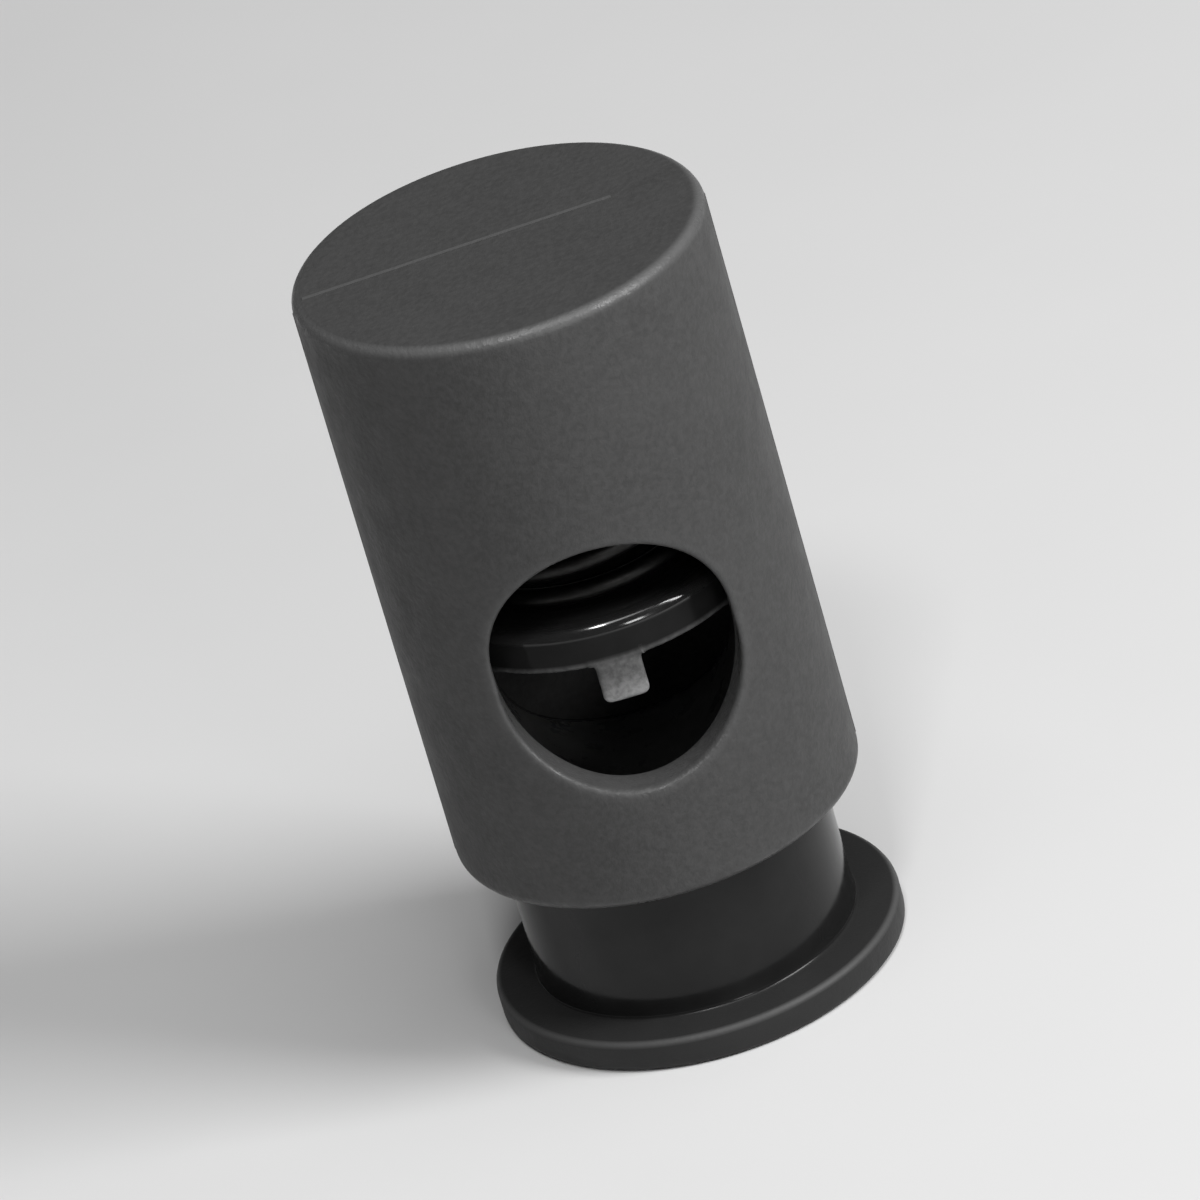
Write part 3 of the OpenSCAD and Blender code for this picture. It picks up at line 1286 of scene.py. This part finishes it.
@dataclass(frozen=True)
class PolishedPlastic:
    """Black plastic, glossy on the stem and textured on the disc; the tooth is rubbed light by the
    cords, with painted highlights on its tip, the lip's edge and the disc's rim, and painted light
    inside the eye.
    """

    name: str = "plunger_plastic"
    shade: float = 0.010
    disc_shade: float = 0.024
    # Colour of the tooth's rub marks and of the painted highlights and painted light on the lip, the
    # tooth's tip and in the eye.
    scuff_and_light_shade: float = 0.27
    # Colour of the highlight painted on the disc's upper rim.
    rim_highlight_shade: float = 0.07
    disc_radius: float = 6.8
    rough: float = 0.10
    disc_rough: float = 0.46
    scuff_rough: float = 0.45
    disc_top: float = 1.1
    lip: float = 14.2
    tooth_half: float = 0.75
    tooth_tip: float = 12.8
    eye_half: float = 4.0
    stem: float = 5.37
    edge: float = 15.22
    edge_width: float = 0.12
    edge_gloss: Pair = (0, 0.9)
    gloss_change: Pair = (12, 13)
    gloss: Pair = (0.22, 0.06)
    rim_highlight_reach: Pair = (0.22, 0.1)

    def scuffs_and_painted_light(self, nodes: Nodes) -> Socket:
        """Makes the mask of the tooth, rubbed light by the cords, and of painted light: highlights on
        the tooth's tip and the lip's edge, and light inside the eye.

        Args:
            nodes: The material's nodes.

        Returns:
            The mask, from 0 to 1.
        """
        across, up = nodes.in_mm(ACROSS), nodes.in_mm(UP)
        on_tooth = nodes.spread(across, (self.tooth_half + 0.18, self.tooth_half + 0.3), (1, 0))
        below = nodes.spread(up, (self.lip - 0.05, self.lip + 0.3), (1, 0))
        above = nodes.spread(up, (self.tooth_tip - 0.3, self.tooth_tip - 0.1))
        # The tooth is painted light: partly wear from the cords, partly a painted highlight that is
        # brightest at its tip.
        tip = nodes.spread(up, (self.tooth_tip + 0.2, self.tooth_tip + 0.9), (1, 0.42))
        tooth = nodes.sum_of("MULTIPLY", nodes.sum_of("MULTIPLY", on_tooth, tip),
                             nodes.sum_of("MULTIPLY", below, above))
        in_eye = nodes.spread(across, (self.eye_half - 0.1, self.eye_half + 0.15), (1, 0))
        # Painted highlight: a thin light line along the lip's edge.
        lip_low = nodes.spread(up, (self.lip - 0.2, self.lip - 0.05))
        lip_high = nodes.spread(up, (self.lip + 0.12, self.lip + 0.26), (1, 0))
        lip = nodes.sum_of("MULTIPLY", nodes.sum_of("MULTIPLY", lip_low, lip_high), in_eye)
        # Painted light: the inside of the eye is painted lighter, standing in for light that does not
        # reach into it.
        inside = nodes.spread(nodes.in_mm(OFF_AXIS), (self.stem - 0.3, self.stem - 0.05), (0.55, 0))
        eye = nodes.sum_of("MULTIPLY", inside,
                           nodes.spread(up, (self.lip - 0.02, self.lip + 0.1), (1, 0)))
        # The tooth's rub marks joined with the highlight painted along the lip's edge.
        scuffed_and_highlit = nodes.sum_of("MAXIMUM", tooth, nodes.sum_of("MULTIPLY", lip, 0.30))
        patchy = nodes.spread(nodes.noise(0.3, 4, 0.65), (0.32, 0.6), (0.5, 1))
        cloudy = nodes.spread(nodes.noise(1.5, 2, 0.5), (0.3, 0.7), (0.7, 1))
        return nodes.sum_of("MAXIMUM", nodes.sum_of("MULTIPLY", scuffed_and_highlit, patchy),
                            nodes.sum_of("MULTIPLY", eye, cloudy))

    def make(self) -> bpy.types.Material:
        """Makes the material.

        Returns:
            The material.
        """
        nodes = Nodes(self.name)
        disc = nodes.spread(nodes.in_mm(UP), (self.disc_top, self.disc_top + 0.08), (1, 0))
        # Rub marks on the tooth, plus painted highlights on the lip and the tooth's tip and painted
        # light inside the eye.
        scuff_and_painted_light = self.scuffs_and_painted_light(nodes)
        fine = nodes.noise(0.16, 3, 0.6)
        plain = nodes.blend(disc, grey(self.shade), grey(self.disc_shade))
        clouded = nodes.blend(nodes.spread(nodes.noise(1.8, 3, 0.5), (0.3, 0.7), (0, 0.25)), plain,
                              grey(self.disc_shade * 1.2))
        # Painted highlight on the disc's upper outer corner.
        rim = nodes.sum_of("MULTIPLY", disc,
                           nodes.corner(self.disc_radius, self.disc_top, self.rim_highlight_reach))
        nodes.link(nodes.blend(rim, nodes.blend(scuff_and_painted_light, clouded, grey(self.scuff_and_light_shade)),
                               grey(self.rim_highlight_shade)), nodes.shader.inputs["Base Color"])
        smears = nodes.spread(nodes.noise(0.7, 4, 0.65, (1, 1, 0.35)), (0.35, 0.7),
                              (self.rough, self.rough + 0.10))
        rough = nodes.sum_of("ADD", smears,
                             nodes.sum_of("MULTIPLY", disc, self.disc_rough - self.rough))
        nodes.link(nodes.sum_of("ADD", rough,
                                nodes.sum_of("MULTIPLY", scuff_and_painted_light, self.scuff_rough - self.rough)),
                   nodes.shader.inputs["Roughness"])
        nodes.link(nodes.bump(nodes.sum_of("MULTIPLY", fine, nodes.sum_of("MAXIMUM", disc, scuff_and_painted_light)),
                              0.016, 0.8,
                              nodes.bump(nodes.noise(1.1, 2, 0.5), 0.006, 0.4)),
                   nodes.shader.inputs["Normal"])
        nodes.shader.inputs["IOR"].default_value = PLASTIC_IOR
        level = nodes.spread(nodes.in_mm(UP), self.gloss_change, self.gloss)
        glint = nodes.spread(nodes.in_mm(UP), (self.edge, self.edge + self.edge_width), self.edge_gloss)
        nodes.link(nodes.sum_of("MAXIMUM", level, glint), nodes.shader.inputs["Specular IOR Level"])
        return nodes.material


@dataclass(frozen=True)
class DrawnSteel:
    """Spring wire with a little dull oil on it, its colour darkened to near black as painted shade for
    the shade inside the barrel.
    """

    name: str = "spring_steel"
    # Painted shade: a near-black colour, standing in for the shade the spring sits in.
    shade: float = 0.035
    rough: Pair = (0.36, 0.52)

    def make(self) -> bpy.types.Material:
        """Makes the material.

        Returns:
            The material.
        """
        nodes = Nodes(self.name)
        nodes.shader.inputs["Metallic"].default_value = 1.0
        dull = nodes.noise(0.45, 4, 0.6, (1, 1, 2.5))
        nodes.link(nodes.blend(nodes.spread(dull, (0.35, 0.65)), grey(self.shade, 0.01),
                               grey(self.shade * 0.7, 0.03)), nodes.shader.inputs["Base Color"])
        nodes.link(nodes.spread(nodes.noise(0.2, 3, 0.5), (0.3, 0.7), self.rough),
                   nodes.shader.inputs["Roughness"])
        nodes.link(nodes.bump(nodes.noise(0.09, 2, 0.5, (1, 1, 4)), 0.003, 0.5),
                   nodes.shader.inputs["Normal"])
        return nodes.material


@dataclass(frozen=True)
class PalePaper:
    """The floor's pale, even surface."""

    name: str = "floor_paper"
    shade: float = 0.72

    def make(self) -> bpy.types.Material:
        """Makes the material.

        Returns:
            The material.
        """
        nodes = Nodes(self.name)
        nodes.link(nodes.blend(nodes.spread(nodes.noise(12, 3, 0.5), (0.3, 0.7)),
                               grey(self.shade * 0.985), grey(self.shade)),
                   nodes.shader.inputs["Base Color"])
        nodes.shader.inputs["Roughness"].default_value = 0.9
        return nodes.material


@dataclass(frozen=True)
class SoftBox:
    """A soft studio light."""

    name: str
    azimuth: float
    elevation: float
    size: Pair
    power: float
    distance: float = 0.4

    def hang(self, aim: Vector) -> None:
        """Hangs the light and turns it to the lock.

        Args:
            aim: The point that it lights.
        """
        light = bpy.data.lights.new(self.name, "AREA")
        light.shape = "RECTANGLE"
        light.size, light.size_y = self.size
        light.energy = self.power
        around, up = math.radians(self.azimuth), math.radians(self.elevation)
        away = Vector((math.sin(around) * math.cos(up), -math.cos(around) * math.cos(up),
                       math.sin(up)))
        obj = bpy.data.objects.new(self.name, light)
        obj.location = aim + away * self.distance
        obj.rotation_euler = away.to_track_quat("Z", "Y").to_euler()
        bpy.context.scene.collection.objects.link(obj)


@dataclass
class Studio:
    """The floor, the lights and the camera."""

    elevation: float = 27.4
    lean: float = 16.3
    lens: float = 300.0
    sensor: float = 36.0
    frame_height: float = 0.0385
    aim_height: float = 0.0137
    floor_size: float = 3.0
    lights: tuple[SoftBox, ...] = (
        SoftBox("key", 64, 38, (0.15, 0.18), 1.30),
        SoftBox("top", 30, 74, (0.26, 0.26), 0.66),
        SoftBox("accent", -8, 55, (0.05, 0.055), 0.34),
        SoftBox("fill", 18, 16, (0.08, 0.08), 0.18),
    )
    air: float = 0.07

    def set_up(self) -> None:
        """Sets up the studio round the lock."""
        aim = Vector((0.0, 0.0, self.aim_height))
        self.lay_floor()
        for light in self.lights:
            light.hang(aim)
        self.place_camera(aim)
        world = bpy.data.worlds.new("studio_air")
        world.use_nodes = True
        world.node_tree.nodes["Background"].inputs["Color"].default_value = (*grey(1.0), 1)
        world.node_tree.nodes["Background"].inputs["Strength"].default_value = self.air
        bpy.context.scene.world = world
        bpy.context.scene.view_settings.view_transform = "Standard"

    def lay_floor(self) -> None:
        """Lays the floor under the disc."""
        bpy.ops.mesh.primitive_plane_add(size=self.floor_size, location=(0, 0, 0))
        floor = bpy.context.view_layer.objects.active
        floor.name = "floor"
        floor.data.materials.append(PalePaper().make())

    def place_camera(self, aim: Vector) -> None:
        """Places the camera in front and above, rolled so that the lock leans to the left.

        Args:
            aim: The point that it looks at.
        """
        camera = bpy.data.cameras.new("camera")
        camera.lens = self.lens
        camera.sensor_width = self.sensor
        camera.clip_start = 0.01
        up = math.radians(self.elevation)
        away = Vector((0, -math.cos(up), math.sin(up)))
        obj = bpy.data.objects.new("camera", camera)
        obj.location = aim + away * (self.frame_height * self.lens / self.sensor)
        obj.rotation_euler = away.to_track_quat("Z", "Y").to_matrix().to_euler()
        obj.rotation_euler.rotate_axis("Z", math.radians(-self.lean))
        bpy.context.scene.collection.objects.link(obj)
        bpy.context.scene.camera = obj


def main() -> None:
    """Builds the lock piece by piece."""
    logging.basicConfig(level=logging.INFO, format="%(name)s: %(message)s")
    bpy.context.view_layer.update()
    Studio().set_up()
    made = (
        (Barrel(), SparkedPlastic()),
        (Plunger(), PolishedPlastic()),
        (Spring(), DrawnSteel()),
    )
    for part, finish in made:
        obj = part.build()
        obj.data.materials.append(finish.make())
        part.dress(obj)
        log.info("%s: %d faces", obj.name, len(obj.data.polygons))


if __name__ == "__main__":
    main()
